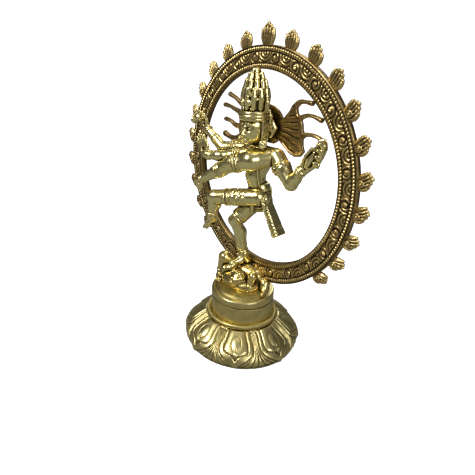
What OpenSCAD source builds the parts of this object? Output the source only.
// Brass Nataraja: a dancing four-armed figure in a ring of flames on a lotus base.
// Millimetres, +Z up, front towards -Y, origin on the floor under the middle of the base.
// The base is hollow and clamped by one stud; the figure, arch and hair are cast pieces
// that are brazed or pinned face to face, so every piece is cut to its neighbour's surface.

/* [Lotus base] */
// Radius at the widest point of the lotus bell, petals not counted
base_r = 46; // [45:0.5:48]
// Radius where the bell stands on the floor
foot_r = 43; // [41:0.5:44]
// Height of the lotus bell
bell_h = 21.5; // [20.5:0.5:22]
// Wall thickness of the hollow castings
wall = 3; // [2:0.5:4]
// Number of lotus petals
petals = 8; // [6:1:12]
// How far a petal stands proud of the bell
petal_relief = 0.8; // [0.4:0.1:1.2]

/* [Neck and plinth] */
// Outer radius of the neck drum and the plinth disc
neck_r = 24.6; // [24:0.2:26]
// Height of the joint between the neck and the plinth disc
seam_z = 37.5; // [36.5:0.5:38]
// Height of the rim of the plinth disc
rim_z = 43; // [42.5:0.5:43.5]
// Height of the deck in the middle of the plinth disc
deck_z = 46; // [45.5:0.5:46.5]

/* [Arch] */
// Half width of the opening of the arch
arch_in_x = 68; // [66:0.5:70]
// Half height of the opening of the arch
arch_in_z = 72; // [71:0.5:73]
// Width of the band at the sides
band_side = 12.8; // [11:0.2:13]
// Width of the band at the top and the foot
band_top = 16; // [15:0.5:16.5]
// Height of the centre of the arch
arch_z = 137; // [136.5:0.5:137.5]
// Distance of the arch's middle plane behind the axis of the base
arch_y = 13; // [12.5:0.5:13.5]
// Thickness of the band between its two raised edges
arch_t = 5; // [4:0.5:6]
// Flames on each side of the top flame
side_flames = 10; // [6:1:10]
// Height of the tip of the top flame
flame_top_z = 240; // [238:1:244]

/* [Hardware] */
// Radius of the stud that clamps the plinth to the base
stud_r = 2.5; // [2:0.25:3]
// Radius of the two pins that hold the foot of the arch
pin_r = 1.2; // [1:0.1:1.5]

/* [Hidden] */
$fn = 36;
ball_fit = 1.03; // a joint ball is this much larger than the limbs that meet in it
bore_gap = 0.1;
plate_h = 3;
stud_low_z = 11.5;
washer_h = 1.6;
nut_h = 4;
rope_r = 1.7;
palm_w = 8.6;
palm_t = 3.4;
palm_h = 8.5;
arch_front = arch_y - arch_t / 2;
arch_back = arch_y + arch_t / 2;
arch_out_x = arch_in_x + band_side;
arch_out_z = arch_in_z + band_top;
arch_bottom = arch_z - arch_out_z;
edge_w = 2.8; // width of the raised edges of the arch
edge_up = 0.6; // how far they stand above the band
saddle_x = 14;
saddle_top = arch_bottom + 5;
saddle_side = 1;
pin_x = 9;

// Places of the figure's joints
pelvis = [5, 8, 115];
waist = [6, 8, 128];
chest = [5, 8, 144];
neck = [4, 5, 157];
shoulder_l = [18, 7, 152];
shoulder_r = [-8, 7, 152];
skull = [4, -0.4, 171];
jaw = [4, -0.8, 167.2];
hip_r = [2, 5, 112];
knee_r = [-10, -2, 96.5];
ankle_r = [-4.5, 4, 69];
heel_r = [-3.5, 6, 63.5];
toe_r = [-6, -6.5, 62.8];
hip_l = [9, 2, 120];
knee_l = [-23.5, -12, 114];
ankle_l = [-26, -12, 98];
toe_l = [-28.5, -15, 89];
elbow_fire = [36, 5, 136.5];
wrist_fire = [44, 5, 148];
elbow_drum = [-27.5, -1, 150.5];
wrist_drum = [-45, -2.5, 162.5];
elbow_calm = [-18, -6, 146];
wrist_calm = [-34, -12, 145];
bend_sweep = [-6, -10, 144];
wrist_sweep = [-38, -13, 124.5];
hair_c = [4, 14, 171];
hair_r = 14.5;
hair_t = 3;
crown_top = [4, 0, 209];

// ---- helpers ----

module ball(p, r) { translate(p) sphere(r = r); }

// A straight taper from a to b
module rod(a, b, ra, rb) {
  v = b - a;
  len = norm(v);
  translate(a) rotate([0, acos(v[2] / len), atan2(v[1], v[0])]) cylinder(h = len, r1 = ra, r2 = rb);
}

// A limb through the points p with the radii r
module limb(p, r) {
  for (i = [0:len(p) - 1]) ball(p[i], r[i] * ball_fit);
  for (i = [0:len(p) - 2]) rod(p[i], p[i + 1], r[i], r[i + 1]);
}

// A bangle across the limb from a to b, at the share s of its length
module bangle(a, b, s, r, w) {
  u = (b - a) / norm(b - a);
  m = a + (b - a) * s;
  rod(m - u * w / 2, m + u * w / 2, r, r);
}

// A point at the share s of the curve that leaves a towards b and ends in c
function bend(a, b, c, s) = a * (1 - s) * (1 - s) + b * 2 * s * (1 - s) + c * s * s;

function oval(rx, rz, n) = [for (i = [0:n - 1]) [rx * cos(360 * i / n), rz * sin(360 * i / n)]];

// An oval plate that stands upright, with its middle at the arch's centre
module oval_plate(rx, rz, t) {
  translate([0, arch_y + t / 2, arch_z]) rotate([90, 0, 0]) linear_extrude(t) polygon(oval(rx, rz, 96));
}

// An open hand: the wrist is at the origin, the fingers point along +Z, the palm faces -Y
module open_hand(bent) {
  translate([-palm_w / 2, -palm_t / 2, 0]) cube([palm_w, palm_t, palm_h]);
  for (k = [-1.5:1:1.5]) rod([k * 2.1, 0, palm_h - 1.5], [k * 2.5, -bent, palm_h + 8 - abs(k)], 1.3, 0.9);
  rod([2, 0, 1.5], [6.4, -1.5, 8.5], 1.5, 1);
}

// ---- base ----

function bell_line(up) = [[foot_r + up, 0], [base_r + up, 3], [base_r - 0.4 + up, 6],
                          [base_r - 2.6 + up, 10], [base_r - 6.6 + up, 13.6],
                          [base_r - 11 + up, 16.8], [31 + up, 19.6], [28 + up, bell_h]];

module bell(up) {
  rotate([0, 0, 180 / petals]) rotate_extrude() polygon(concat([[0, 0]], bell_line(up), [[0, bell_h]]));
}

// The outline of one petal, pointed at the foot of the bell
function petal_outline() = [[0, 0.6], [4, 2.5], [9, 4.2], [12, 7.5], [11.5, 11.5], [8.5, 15.5],
                            [5.5, 19], [4.5, 21], [-4.5, 21], [-5.5, 19], [-8.5, 15.5],
                            [-11.5, 11.5], [-12, 7.5], [-9, 4.2], [-4, 2.5]];

module lotus_base() {
  color([0.68, 0.61, 0.33]) difference() {
    union() {
      bell(0);
      intersection() {
        bell(petal_relief);
        for (i = [0:petals - 1]) rotate([0, 0, i * 360 / petals]) rotate([90, 0, 0])
          translate([0, 0, 24]) linear_extrude(30) polygon(petal_outline());
      }
    }
    rotate_extrude() polygon([[0, -1], [foot_r - wall, -1], [foot_r - wall, 0], [base_r - wall, 3.5],
                              [base_r - 3 - wall, 9], [31 - wall, bell_h - plate_h],
                              [0, bell_h - plate_h]]);
    cylinder(h = bell_h + 1, r = stud_r + bore_gap);
  }
}

module rope_collar() {
  color([0.62, 0.54, 0.28]) rotate_extrude() difference() {
    union() {
      translate([neck_r + rope_r, bell_h + rope_r]) circle(r = rope_r);
      translate([neck_r, bell_h]) square([rope_r, rope_r * 2]);
      translate([neck_r, bell_h]) square([rope_r * 2 - 0.4, 0.8]);
    }
    square([neck_r, bell_h * 2]);
  }
}

module neck_drum() {
  color([0.72, 0.65, 0.36]) difference() {
    translate([0, 0, bell_h]) cylinder(h = seam_z - bell_h, r = neck_r);
    translate([0, 0, bell_h - 1]) cylinder(h = seam_z - bell_h + 2, r = neck_r - wall);
  }
}

module plinth_solid() {
  rotate_extrude() polygon([[0, seam_z], [neck_r - 0.5, seam_z], [neck_r, seam_z + 0.6],
                            [neck_r, rim_z - 0.6], [neck_r - 0.8, rim_z + 0.4],
                            [neck_r - 4, deck_z - 1.2], [neck_r - 9, deck_z - 0.2],
                            [neck_r - 13, deck_z], [0, deck_z]]);
  translate([0, 0, seam_z - plate_h]) cylinder(h = plate_h + 1, r = neck_r - wall);
}

module plinth_disc() {
  color([0.74, 0.67, 0.38]) difference() {
    plinth_solid();
    cylinder(h = rim_z, r = stud_r);
  }
}

module tie_stud() {
  color([0.6, 0.6, 0.58]) translate([0, 0, stud_low_z]) cylinder(h = rim_z - stud_low_z, r = stud_r);
}

module stud_washer() {
  color([0.62, 0.62, 0.6]) difference() {
    translate([0, 0, bell_h - plate_h - washer_h]) cylinder(h = washer_h, r = stud_r * 3.6);
    cylinder(h = bell_h, r = stud_r);
  }
}

module stud_nut() {
  color([0.6, 0.6, 0.58]) difference() {
    translate([0, 0, bell_h - plate_h - washer_h - nut_h]) cylinder(h = nut_h, r = stud_r * 1.85, $fn = 6);
    cylinder(h = bell_h, r = stud_r);
  }
}

// ---- arch ----

module arch_band() {
  difference() {
    union() {
      oval_plate(arch_out_x, arch_out_z, arch_t);
      difference() {
        oval_plate(arch_out_x, arch_out_z, arch_t + 2 * edge_up);
        oval_plate(arch_out_x - edge_w, arch_out_z - edge_w, arch_t + 9);
      }
      oval_plate(arch_in_x + edge_w, arch_in_z + edge_w, arch_t + 2 * edge_up);
    }
    oval_plate(arch_in_x, arch_in_z, arch_t + 9);
  }
}

module saddle_solid() {
  translate([-saddle_x, arch_front - edge_up - saddle_side, deck_z - 3])
    cube([saddle_x * 2, arch_t + 2 * edge_up + 2 * saddle_side, saddle_top - deck_z + 3]);
}

module pins() {
  for (x = [-pin_x, pin_x]) translate([x, arch_back + edge_up + saddle_side, saddle_top - 2.4])
    rotate([90, 0, 0]) cylinder(h = arch_t + 2 * edge_up + 2 * saddle_side, r = pin_r);
}

module arch_ring() {
  color([0.43, 0.36, 0.2]) difference() {
    arch_band();
    pins();
  }
}

module arch_saddle() {
  color([0.5, 0.43, 0.24]) difference() {
    saddle_solid();
    oval_plate(arch_out_x, arch_out_z, arch_t + 2 * edge_up);
    plinth_solid();
    pins();
  }
}

module saddle_pins() { color([0.66, 0.58, 0.32]) pins(); }

// A leaf of flame: the root is at the origin, the tip at +Z, swept sideways by sway
// Half the width of the leaf at the share s of its height
function leaf_half(w, s) = w / 2 * pow(sin(180 * pow(s, 0.75)), 0.8);

function leaf_outline(w, h, sway) =
  concat([for (i = [0:9]) let(s = 0.12 + 0.88 * i / 9) [leaf_half(w, s) + sway * s * s, h * s - 1.2]],
         [for (i = [8:-1:0]) let(s = 0.12 + 0.88 * i / 9) [sway * s * s - leaf_half(w, s), h * s - 1.2]]);

module flame(w, h, sway) {
  translate([0, 2, 0]) rotate([90, 0, 0]) linear_extrude(4) polygon(leaf_outline(w, h, sway));
  rod([0, 0, 0], [sway * 0.8, 0, h - 2.2], 2.9, 1);
  for (side = [-1, 1])
    rod([side * w * 0.22, 0, 0.8], [sway * 0.55 + side * w * 0.2, 0, h * 0.68], 2.6, 1.1);
}

// Angle from the top of the arch to flame i: the pitch shrinks a little on the way down
function flame_angle(i) = 14.6 * i - 0.12 * i * i;

module arch_flames() {
  color([0.5, 0.42, 0.23]) difference() {
    for (side = [-1, 1], i = [1:side_flames]) {
      a = flame_angle(i);
      x = arch_out_x * sin(a);
      z = arch_out_z * cos(a);
      lean = atan2(x / arch_out_x / arch_out_x, z / arch_out_z / arch_out_z);
      translate([side * x, arch_y, arch_z + z]) rotate([0, side * lean, 0])
        flame(10.5, 13 - 0.5 * i, side * -(1 + 3 * sin(a)));
    }
    oval_plate(arch_out_x, arch_out_z, arch_t + 9);
  }
}

module arch_top_flame() {
  rise = flame_top_z - arch_z - arch_out_z;
  color([0.5, 0.42, 0.23]) difference() {
    translate([0, arch_y, arch_z + arch_out_z]) flame(13.5, rise + 1.2, 0);
    oval_plate(arch_out_x, arch_out_z, arch_t + 9);
  }
}

// ---- dwarf under the dancer ----

module dwarf_body_solid() { limb([[-13, 5.5, 52.6], [-3, 5, 53], [8, 6, 53]], [6.6, 7.4, 7]); }

module behind_dwarf() {
  plinth_solid();
  oval_plate(arch_out_x, arch_out_z, arch_t + 2 * edge_up);
  saddle_solid();
}

module dwarf_body() {
  color([0.66, 0.57, 0.3]) difference() {
    dwarf_body_solid();
    behind_dwarf();
  }
}

module dwarf_head() {
  color([0.66, 0.57, 0.3]) difference() {
    union() {
      ball([0.5, -6, 52], 6.8);
      rod([0.5, -10, 50], [0.5, -13.6, 49], 1.8, 1.2);
      for (x = [-6.6, 7.6]) ball([x, -5, 52], 1.8);
    }
    dwarf_body_solid();
    behind_dwarf();
  }
}

module dwarf_arms() {
  color([0.66, 0.57, 0.3]) difference() {
    union() {
      limb([[-9, 0, 56], [-15, -6, 54], [-17.5, -10.5, 46.6]], [3.4, 2.8, 2.4]);
      limb([[10, 2, 52], [11.5, -1.5, 57], [10.5, -4, 47]], [3, 3.4, 2.8]);
    }
    dwarf_body_solid();
    ball([0.5, -6, 52], 6.8);
    ball([7.6, -5, 52], 1.8);
    behind_dwarf();
  }
}

module dwarf_legs() {
  color([0.66, 0.57, 0.3]) difference() {
    union() {
      limb([[-14, 4, 54], [-21, -1.5, 60], [-22, -5, 46]], [5, 4.8, 3]);
      limb([[10, 7, 52], [17, 6.5, 51], [20, 3, 45.5]], [4.6, 3.4, 2.4]);
    }
    dwarf_body_solid();
    limb([[-9, 0, 56], [-15, -6, 54], [-17.5, -10.5, 46.6]], [3.4, 2.8, 2.4]);
    limb([[10, 2, 52], [11.5, -1.5, 57], [10.5, -4, 47]], [3, 3.4, 2.8]);
    behind_dwarf();
  }
}

// ---- dancer ----

module pelvis_solid() {
  limb([pelvis + [2.5, 0, 0], pelvis + [-1.5, -1, 0]], [9, 8.6]);
  rod(pelvis + [0.5, 0, 5], waist - [0, 0, 3.5], 8.6, 7.6);
}

module torso_solid() {
  rod(waist - [0, 0, 3.5], chest, 7.2, 8.8);
  ball(chest, 8.8 * ball_fit);
  rod([4, 8, 147.5], shoulder_r, 5.6, 6.3);
  ball(shoulder_r, 6.3 * ball_fit);
  rod([6, 8, 147], shoulder_l, 5.4, 6.3);
  ball(shoulder_l, 6.3 * ball_fit);
  rod(chest + [0, 0, 6], neck + [0, 0, 3], 6, 4.8);
}

// The head, with the hair at the nape that joins it to the disc
module head_solid() {
  limb([skull, jaw], [9.8, 7.6]);
  rod([4, 3, 169.6], [4, 13.5, 170.2], 8.2, 7);
}

module band_solid() { translate([4, -0.8, 176.8]) cylinder(h = 5, r = 11); }

module pelvis_dhoti() {
  color([0.78, 0.69, 0.36]) difference() {
    pelvis_solid();
    torso_solid();
  }
}

module torso() { color([0.72, 0.64, 0.34]) torso_solid(); }

module standing_leg_solid() {
  limb([hip_r, knee_r, ankle_r], [6.6, 4.9, 3.7]);
  bangle(hip_r, knee_r, 0.72, 6.1, 1.4);
  bangle(hip_r, knee_r, 0.84, 5.8, 1.2);
  limb([ankle_r, heel_r, toe_r], [3.7, 3.3, 2.6]);
}

module standing_leg() {
  color([0.68, 0.6, 0.32]) difference() {
    standing_leg_solid();
    pelvis_solid();
    torso_solid();
    dwarf_body_solid();
    ball([0.5, -6, 52], 6.8);
  }
}

module raised_leg_solid() {
  limb([hip_l, knee_l, ankle_l, toe_l], [6.6, 5.6, 3.9, 2.2]);
  bangle(hip_l, knee_l, 0.7, 6.7, 2.4);
}

module raised_leg() {
  color([0.78, 0.69, 0.36]) difference() {
    raised_leg_solid();
    pelvis_solid();
    limb([hip_r, knee_r], [6.6, 4.9]);
  }
}

module hip_sash() {
  color([0.66, 0.58, 0.3]) difference() {
    translate([0, 10, 0]) rotate([90, 0, 0]) linear_extrude(9)
      polygon([[10, 121], [16, 123], [18.5, 115], [31.5, 97.5], [26, 92], [22, 95.5], [13.5, 111]]);
    pelvis_solid();
    torso_solid();
    raised_leg_solid();
    standing_leg_solid();
  }
}

// A calm, plain face: brow, straight nose, closed lips, round ears
// Strand k of the hair that hangs beside the face
module side_strand(side, k) {
  rod([4 + side * 9.6, -1.6 + k * 2.1, 178], [4 + side * 9, -1 + k * 2.1, 161], 1.3, 1);
}

module head() {
  color([0.72, 0.64, 0.34]) difference() {
    union() {
      head_solid();
      rod([4, -9.6, 172], [4, -10.6, 166.4], 0.9, 1.4);
      ball([4, -10.4, 166.5], 1.5);
      for (side = [-1, 1]) {
        ball([4 + side * 3.4, -8.6, 170], 1.5);
        rod([4 + side * 1.3, -9.8, 173], [4 + side * 6, -7.8, 173.2], 0.8, 0.6);
        rod([4 + side * 0.2, -8.4, 163.2], [4 + side * 2.4, -7.8, 163.6], 0.9, 0.6);
        translate([4 + side * 8.6, 7.6, 169]) rotate([0, 90, 0]) cylinder(h = 4, r = 3.2, center = true);
        for (k = [0:2]) side_strand(side, k);
      }
    }
    torso_solid();
    band_solid();
    hair_disc_solid();
  }
}

module earrings() {
  color([0.7, 0.62, 0.33]) difference() {
    for (side = [-1, 1]) translate([4 + side * 10, -0.8, 160.6]) rotate([0, 90, 0]) {
      cylinder(h = 2.6, r = 3.2, center = true);
      cylinder(h = 4.2, r = 1.3, center = true);
    }
    head_solid();
    torso_solid();
    for (side = [-1, 1], k = [0:2]) side_strand(side, k);
  }
}

module crown_band() {
  color([0.7, 0.62, 0.33]) difference() {
    band_solid();
    hair_disc_solid();
  }
}

// Tall piled hair: a core with two tiers of upright locks and a knot
module crown_solid() {
  translate([4, -0.6, 180]) cylinder(h = 13, r1 = 9.4, r2 = 8.8);
  translate([4, -0.6, 193]) cylinder(h = 13, r1 = 8.8, r2 = 4.2);
  for (tier = [[9, 184, 197.5, 8.8, 8.2], [6, 195, 205, 7, 4.6]], k = [0:tier[0] - 1]) {
    a = 360 * (k + 0.5) / tier[0];
    rod([4 + tier[3] * cos(a), -0.6 + tier[3] * sin(a), tier[1]],
        [4 + tier[4] * cos(a), -0.4 + tier[4] * sin(a), tier[2]], 2.3, 1.5);
  }
  ball(crown_top - [0, 0, 3], 3.8);
}

module crown() {
  color([0.64, 0.56, 0.3]) difference() {
    crown_solid();
    band_solid();
    hair_disc_solid();
    arch_band();
  }
}

module hair_disc_solid() {
  translate(hair_c + [0, hair_t / 2, 0]) rotate([90, 0, 0]) cylinder(h = hair_t, r = hair_r);
}

module hair_disc() {
  color([0.35, 0.3, 0.18]) difference() {
    hair_disc_solid();
    torso_solid();
  }
}

// One flying lock from the disc to the point [x, z], lifted by rise in its middle
module lock(from_z, x, z, rise) {
  a = hair_c + [hair_r - 2.5, 0, from_z];
  c = [x, hair_c[1], z];
  b = (a + c) / 2 + [1, 0, rise];
  steps = 4;
  p = [for (i = [0:steps]) bend(a, b, c, i / steps)];
  limb(p, [for (i = [0:steps]) 2.6 - 1.5 * i / steps]);
}

// A fan of flying hair on the +X side: locks = [[start, end x, end z, rise], ...]
module hair_fan(locks, web) {
  for (l = locks) lock(l[0], l[1], l[2], l[3]);
  translate([0, hair_c[1] + 1, 0]) rotate([90, 0, 0]) linear_extrude(2) polygon(web);
}

module hair_fan_left() {
  color([0.5, 0.43, 0.24]) difference() {
    hair_fan([[4, 41.5, 190, 9], [0, 49.5, 180.3, 7], [-3, 52.5, 167, 4]],
             [[15, 176], [18.5, 178], [23.5, 183], [28, 185.5], [31, 180.5], [34, 177], [34.5, 171],
              [35.5, 165], [37, 159], [33, 154.5], [29, 153.5], [22, 157.5], [15, 162.5]]);
    hair_disc_solid();
    arch_band();
  }
}

module hair_fan_right() {
  color([0.5, 0.43, 0.24]) difference() {
    translate([2 * hair_c[0], 0, 0]) mirror([1, 0, 0])
      hair_fan([[5.5, 45, 188.5, 7], [1.5, 51, 180, 6], [-3, 50, 169, 4], [-7.5, 49, 157, 2]],
               [[15, 176], [20, 181.5], [26, 182], [30.5, 175], [32, 167], [30, 159], [22, 156.5], [15, 162]]);
    hair_disc_solid();
  }
}

// ---- arms ----

// The cupped hand that holds the flame: a thick palm, curled fingers along its rim, the flame on it
module flame_hand() {
  translate([0, 8, 0]) rotate([90, 0, 0]) linear_extrude(4.6)
    polygon([[41.5, 148], [43.6, 155.6], [56, 169], [59.5, 170], [60.6, 164], [56, 153.6], [47, 145.4]]);
  for (k = [0:2]) ball([58.4 - k * 0.6, 4, 166.5 - k * 3.6], 2);
  rod([46.5, 3.6, 152], [53.5, 3.2, 162.5], 2.4, 1);
}

module fire_arm_solid() {
  limb([shoulder_l + [2, 0, 0], elbow_fire, wrist_fire], [5.9, 4.9, 3.3]);
  bangle(shoulder_l, elbow_fire, 0.4, 6.4, 2.4);
  bangle(elbow_fire, wrist_fire, 0.84, 4.3, 1.6);
  flame_hand();
}

module fire_arm() {
  color([0.72, 0.64, 0.34]) difference() {
    fire_arm_solid();
    torso_solid();
  }
}

module drum_arm_solid() {
  limb([shoulder_r - [1, 0, 0], elbow_drum, wrist_drum], [5.6, 4.7, 3.2]);
  bangle(shoulder_r, elbow_drum, 0.6, 5.8, 2.4);
  bangle(elbow_drum, wrist_drum, 0.86, 4.2, 1.6);
  translate(wrist_drum) rotate([0, -35, 0]) open_hand(3);
}

// A small hourglass drum on its cord, held between the fingers
module drum_solid() {
  translate([-51.5, -7.5, 170]) rotate([0, 70, 0]) {
    cylinder(h = 5, r1 = 1.6, r2 = 3.6);
    mirror([0, 0, 1]) cylinder(h = 5, r1 = 1.6, r2 = 3.6);
    cylinder(h = 1.8, r = 1.9, center = true);
  }
}

module drum_arm() {
  color([0.7, 0.62, 0.33]) difference() {
    drum_arm_solid();
    torso_solid();
    drum_solid();
  }
}

module hand_drum() { color([0.62, 0.54, 0.28]) drum_solid(); }

module blessing_arm_solid() {
  limb([shoulder_r + [2.2, -3.6, -3], elbow_calm, wrist_calm], [5.2, 4.6, 3.2]);
  bangle(elbow_calm, wrist_calm, 0.8, 4.2, 1.6);
  translate(wrist_calm + [-1, 0, 0.5]) rotate([0, -24, 0]) open_hand(0.5);
}

module blessing_arm() {
  color([0.7, 0.62, 0.33]) difference() {
    blessing_arm_solid();
    torso_solid();
    limb([shoulder_r - [1, 0, 0], elbow_drum], [5.6, 4.7]);
  }
}

module sweeping_arm() {
  color([0.76, 0.68, 0.36]) difference() {
    union() {
      limb([shoulder_l + [-2.4, -3.2, -2.2], chest + [2, -13, 4], bend_sweep, wrist_sweep], [6.6, 7, 6.4, 3.2]);
      bangle(bend_sweep, wrist_sweep, 0.35, 5.9, 2.4);
      translate(wrist_sweep - [1, 0, 0]) rotate([0, 206, 0]) scale(0.75) open_hand(1);
    }
    torso_solid();
    limb([shoulder_l + [2, 0, 0], elbow_fire], [5.9, 4.9]);
    limb([shoulder_r + [2.2, -3.6, -3], elbow_calm], [5.2, 4.6]);
  }
}

lotus_base();
rope_collar();
neck_drum();
plinth_disc();
tie_stud();
stud_washer();
stud_nut();
arch_ring();
arch_saddle();
saddle_pins();
arch_top_flame();
arch_flames();
dwarf_body();
dwarf_head();
dwarf_arms();
dwarf_legs();
pelvis_dhoti();
torso();
standing_leg();
raised_leg();
hip_sash();
head();
crown_band();
crown();
earrings();
hair_disc();
hair_fan_left();
hair_fan_right();
fire_arm();
drum_arm();
hand_drum();
blessing_arm();
sweeping_arm();
